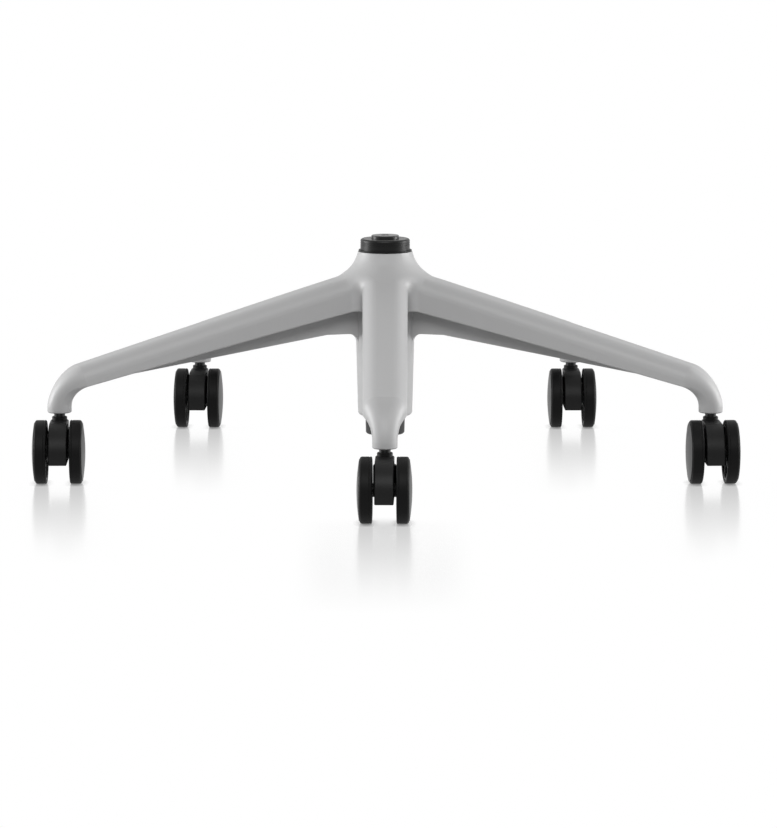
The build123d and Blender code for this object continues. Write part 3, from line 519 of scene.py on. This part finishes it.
# %% [markdown]
# ## Ejector marks
# A casting or moulding is pushed out of its mould by round steel pins, and each pin leaves a low
# round pad with a thin ring of flash. They are on the sides that nobody looks at: under the star
# and on the inner webs of the wheels. The tree casts a ray from each seed point onto the finished
# surface, so a mark always lies on the skin and turns with its slope. Sink keeps the pad's foot
# a little below the skin, so no gap shows.

# %% The tree for marks
MARK_SIDES = 28
PAD_DRAFT = 0.93
FLASH_SPREAD = 1.22
FLASH_SIDES = 6
RAY_LENGTH = 1.0


def mark_tree():
    """A pad with a ring of flash wherever a ray from a seed point meets the target."""
    tree, given = new_tree("ejector_marks", {
        "Target": "NodeSocketObject", "Direction": "NodeSocketVector",
        "Radius": "NodeSocketFloat", "Height": "NodeSocketFloat",
        "Sink": "NodeSocketFloat", "Material": "NodeSocketMaterial"})
    radius, height, sink = given["Radius"], given["Height"], given["Sink"]
    skin = radius.node("GeometryNodeObjectInfo", {"transform_space": "RELATIVE"}, {
        "Object": given["Target"]}, "Geometry")
    hit = radius.node("GeometryNodeRaycast", None, {
        "Target Geometry": skin, "Ray Direction": given["Direction"],
        "Ray Length": RAY_LENGTH}, "Hit Position")
    turn = radius.node("FunctionNodeAlignRotationToVector", {"axis": "Z"}, {
        "Vector": hit.beside("Hit Normal")})
    pad = radius.node("GeometryNodeMeshCone", None, {
        "Vertices": MARK_SIDES, "Radius Top": radius * PAD_DRAFT, "Radius Bottom": radius,
        "Depth": height + sink}, "Mesh")
    loop = radius.node("GeometryNodeCurvePrimitiveCircle", {"mode": "RADIUS"}, {
        "Resolution": MARK_SIDES, "Radius": radius * FLASH_SPREAD})
    thread = radius.node("GeometryNodeCurvePrimitiveCircle", {"mode": "RADIUS"}, {
        "Resolution": FLASH_SIDES, "Radius": height * 0.5})
    flash = radius.node("GeometryNodeCurveToMesh", None, {
        "Curve": loop, "Profile Curve": thread})
    down = radius.node("ShaderNodeCombineXYZ", None, {2: 0 - sink})
    sunk = radius.node("GeometryNodeTransform", None, {"Geometry": pad, "Translation": down})
    mark = radius.node("GeometryNodeJoinGeometry")
    for part in (sunk, flash):
        tree.links.new(part.socket, mark.socket.node.inputs[0])
    placed = radius.node("GeometryNodeInstanceOnPoints", None, {
        "Points": given["Geometry"], "Instance": mark, "Rotation": turn})
    seated = radius.node("GeometryNodeSetPosition", None, {
        "Geometry": placed, "Position": hit})
    close_tree(seated, given["Material"])
    return tree


MARKS = mark_tree()
print("mark nodes:", len(MARKS.nodes))

# %% [markdown]
# ### Marks of the star
# The star's mould opens upwards, so its pins press from below: one beside the centre rib in every
# pocket, a larger pair on the flat near each arm's end, and one between the arms under the hub.
# Seeds lie on the floor, straight under the marks, and the rays go up.

# %% Marks under the arms and under the hub
POCKET_MARKS_ALONG = (65.5, 128.5, 191.5, 254.5)
POCKET_MARK_ASIDE = 5.9
POCKET_MARK_RADIUS = 2.5
HUB_MARK_OUT = 22.5
END_MARK_ALONG = 298.0
END_MARK_ASIDE = 9.0
END_MARK_RADIUS = 4.0
STAR_MARK_HEIGHT = 0.45
STAR_MARK_SINK = 0.3
ARM_STEP = 2 * math.pi / len(PLACES)


def round_hub(x, y, turn):
    """A seed point on the floor, x along an arm and y beside it, turned round the hub."""
    cosine, sine = math.cos(turn), math.sin(turn)
    return Vector((x * cosine - y * sine, x * sine + y * cosine, 0)) * MM


def star_marks(name, seeds, radius):
    """Marks pressed upwards onto the underside of the star."""
    marks = grow(name, seeds, MARKS, {
        "Target": NODES["base_casting"], "Direction": tuple(UP), "Radius": radius * MM,
        "Height": STAR_MARK_HEIGHT * MM, "Sink": STAR_MARK_SINK * MM,
        "Material": FINISHES["casting"]})
    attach(marks, "root")
    print(name, len(seeds), "marks,", len(marks.data.polygons), "faces")


pocket_seeds = []
end_seeds = []
for index in range(len(PLACES)):
    turn = -math.pi / 2 + index * ARM_STEP
    for x in POCKET_MARKS_ALONG:
        pocket_seeds += [round_hub(x, y, turn) for y in (-POCKET_MARK_ASIDE, POCKET_MARK_ASIDE)]
    pocket_seeds.append(round_hub(HUB_MARK_OUT, 0, turn + ARM_STEP / 2))
    end_seeds += [round_hub(END_MARK_ALONG, y, turn) for y in (-END_MARK_ASIDE, END_MARK_ASIDE)]
star_marks("pocket_ejector_marks", pocket_seeds, POCKET_MARK_RADIUS)
star_marks("arm_end_ejector_marks", end_seeds, END_MARK_RADIUS)

# %% [markdown]
# ### Marks of the wheels
# A wheel's web was pushed out by six pins in a circle, from the side that faces the hood. Seeds
# start a few millimetres off the tyre's inner face, and the rays go outwards along the axle.

# %% Marks on the webs of the wheels
WEB_MARKS = 6
WEB_MARK_CIRCLE = 17.0
WEB_MARK_RADIUS = 1.6
WEB_MARK_HEIGHT = 0.3
WEB_MARK_SINK = 0.2
BACK_OFF = 4.0

for place in PLACES:
    for hand in HANDS:
        body, axle, side, inner = wheel_facts(place, hand)
        across = axle.cross(UP)
        seeds = []
        for index in range(WEB_MARKS):
            turn = (index + 0.5) / WEB_MARKS * 2 * math.pi
            out = UP * math.cos(turn) + across * math.sin(turn)
            seeds.append(inner + out * WEB_MARK_CIRCLE * MM - axle * side * BACK_OFF * MM)
        marks = grow(f"{place}_{hand}_web_marks", seeds, MARKS, {
            "Target": NODES[f"{place}_caster_{hand}_wheel"], "Direction": tuple(axle * side),
            "Radius": WEB_MARK_RADIUS * MM, "Height": WEB_MARK_HEIGHT * MM,
            "Sink": WEB_MARK_SINK * MM, "Material": FINISHES["wheel_core"]})
        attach(marks, body)
print("faces of one set of web marks:", len(marks.data.polygons))

# %% [markdown]
# ## The room that the camera and reflections see
# The page of the photograph is white, and no lamp could make a floor that white without
# bleaching the object. So the floor and the world have a white glow of their own, which only
# rays from the camera, from reflections and through glass can see. The room behind the camera
# is dim, as in most studios, and that keeps the black pieces black.

# %% Who sees the glow
DARK_SIDE = 0.3


def seen_directly(wire, depth, dark_end, light_end):
    """1 for a ray of the camera or through glass, less for a reflection, 0 for any other.

    Reflections of the room behind the camera are dimmer: depth is how far back a spot lies.
    """
    path = wire.node("ShaderNodeLightPath", output="Is Camera Ray")
    lit = wire.node("ShaderNodeMapRange", None, {
        "Value": depth, "From Min": dark_end, "From Max": light_end,
        "To Min": DARK_SIDE, "To Max": 1.0})
    shiny = path.beside("Is Glossy Ray") * lit
    either = path.maths("MAXIMUM", path, shiny)
    return path.maths("MAXIMUM", either, path.beside("Is Transmission Ray"))


print("glow of the room's dark side:", DARK_SIDE)

# %% [markdown]
# ## Where the floor is polished
# In the photograph each caster has a soft mirror image in front of it, as wide as its two wheels,
# which fades away, and the floor beside and behind it is plain white. So the floor is polished in
# one patch in front of each caster. A patch is a product of three soft steps, and Maximum joins
# the five of them.

# %% Polished patches
PATCH_START, PATCH_END = 0.03, 0.45
PATCH_FULL_HALF_WIDTH, PATCH_HALF_WIDTH = 0.036, 0.085
PATCH_HEEL_START, PATCH_HEEL_END = -0.02, 0.04


def eased(value, near_end, far_end):
    """Runs softly from 1 to 0 as a value goes from one end to the other."""
    return value.node("ShaderNodeMapRange", {"interpolation_type": "SMOOTHSTEP"}, {
        "Value": value, "From Min": near_end, "From Max": far_end, "To Min": 1.0, "To Max": 0.0})


def polished_patch(place):
    """1 at the foot of a caster, fading to 0 in front of it, behind it and beside it."""
    spot = place.node("ShaderNodeSeparateXYZ", None, {0: place})
    depth = spot.beside("Y")
    most = None
    for name in PLACES:
        low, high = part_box(f"{name}_caster_axle")
        foot_x, foot_y = (low[0] + high[0]) / 2, (low[1] + high[1]) / 2
        front = depth.node("ShaderNodeMapRange", None, {
            "Value": depth, "From Min": foot_y - PATCH_END, "From Max": foot_y - PATCH_START,
            "To Min": 0.0, "To Max": 1.0})
        aside = (spot - foot_x).through("ABSOLUTE")
        width = eased(aside, PATCH_FULL_HALF_WIDTH, PATCH_HALF_WIDTH)
        heel = eased(depth, foot_y + PATCH_HEEL_START, foot_y + PATCH_HEEL_END)
        patch = front * width * heel
        most = patch.maths("MAXIMUM", most, patch) if most else patch
    return most


print("polished patches:", len(PLACES))

# %% [markdown]
# ## Floor
# Four layers make the floor. A matt one takes shadows and sends light back up. The white glow
# over it makes the open floor as white as the page. Where something almost touches the floor, the
# matt layer comes through as a contact shadow. A rough gloss on top, stronger at a flat angle,
# gives the mirror images in the patches. Seen from underneath the floor is clear, so the ribs
# under the arms can be looked at too.

# %% Lay the floor
FLOOR_REACH = 12.0
MATT_GREY = 0.55
CONTACT_DISTANCE = 0.007
CONTACT_STRENGTH = 0.7
MIRROR_ROUGHNESS = 0.17
MIRROR_IOR = 1.42
FLOOR_DARK_END, FLOOR_LIGHT_END = -1.6, -0.6


def white_floor():
    """The floor's material, from the matt layer up to the gloss."""
    material, place = blank("floor_white")
    open_air = place.node("ShaderNodeAmbientOcclusion", {"samples": 6}, {
        "Distance": CONTACT_DISTANCE}, "AO")
    cover = (1 - open_air) * CONTACT_STRENGTH
    depth = place.node("ShaderNodeSeparateXYZ", None, {0: place}, "Y")
    glow = seen_directly(place, depth, FLOOR_DARK_END, FLOOR_LIGHT_END) * (1 - cover)
    matt = place.node("ShaderNodeBsdfDiffuse", None, {"Color": grey(MATT_GREY)})
    white = place.node("ShaderNodeEmission", None, {"Color": grey(1.0), "Strength": 1.0})
    base = place.node("ShaderNodeMixShader", None, {0: glow, 1: matt, 2: white})
    gloss = place.node("ShaderNodeBsdfGlossy", None, {
        "Color": grey(1.0), "Roughness": MIRROR_ROUGHNESS})
    mirror = place.node("ShaderNodeFresnel", None, {"IOR": MIRROR_IOR}) * polished_patch(place)
    whole = place.node("ShaderNodeMixShader", None, {0: mirror, 1: base, 2: gloss})
    below = place.node("ShaderNodeNewGeometry", output="Backfacing")
    looking_up = below * place.node("ShaderNodeLightPath", output="Is Camera Ray")
    clear = place.node("ShaderNodeBsdfTransparent")
    floor = place.node("ShaderNodeMixShader", None, {0: looking_up, 1: whole, 2: clear})
    place.node("ShaderNodeOutputMaterial", None, {"Surface": floor})
    return material


floor_mesh = bpy.data.meshes.new("floor")
floor_mesh.from_pydata([
    (-FLOOR_REACH, -FLOOR_REACH, 0), (FLOOR_REACH, -FLOOR_REACH, 0),
    (FLOOR_REACH, FLOOR_REACH, 0), (-FLOOR_REACH, FLOOR_REACH, 0)], [], [(0, 1, 2, 3)])
floor_mesh.materials.append(white_floor())
floor_plane = bpy.data.objects.new("floor", floor_mesh)
SCENE.link(floor_plane)
print("floor ready, metres across:", 2 * FLOOR_REACH)

# %% [markdown]
# ## Light
# In the photograph the edges of the front arm are brighter than its middle, and the black collar
# has a pale stripe on each side. So a strong lamp stands on the left and on the right of the
# object, and a larger one hangs in front, above the camera's line. The world adds a plain fill
# from all sides, and shows itself white to the camera.

# %% Lamps and world
AIM = Vector((0, 0, 0.12))
FILL = 0.2
SKY_DARK_END, SKY_LIGHT_END = -0.8, -0.2


def soft_light(name, spot, size, power):
    """A rectangular area lamp at a spot, turned towards the object."""
    data = bpy.data.lights.new(name, "AREA")
    data.shape = "RECTANGLE"
    data.size, data.size_y = size
    data.energy = power
    lamp = bpy.data.objects.new(name, data)
    lamp.location = spot
    lamp.rotation_euler = (AIM - Vector(spot)).to_track_quat("-Z", "Y").to_euler()
    SCENE.link(lamp)


soft_light("key", (0, -2.15, 1.8), (1.8, 1.2), 35)
soft_light("left", (-2.2, 0.35, 0.55), (1.0, 1.0), 40)
soft_light("right", (2.2, 0.35, 0.55), (1.0, 1.0), 36)

world = bpy.data.worlds.new("studio")
bpy.context.scene.world = world
world.use_nodes = True
world.node_tree.nodes.clear()
air = Wire(world.node_tree)
plain = air.node("ShaderNodeBackground", None, {"Color": grey(1.0), "Strength": FILL})
page = air.node("ShaderNodeBackground", None, {"Color": grey(1.0), "Strength": 1.0})
sky = air.node("ShaderNodeTexCoord", output="Generated")
depth = air.node("ShaderNodeSeparateXYZ", None, {0: sky}, "Y")
direct = seen_directly(air, depth, SKY_DARK_END, SKY_LIGHT_END)
mixed = air.node("ShaderNodeMixShader", None, {0: direct, 1: plain, 2: page})
air.node("ShaderNodeOutputWorld", None, {"Surface": mixed})
print("lamps: 3, fill:", FILL)
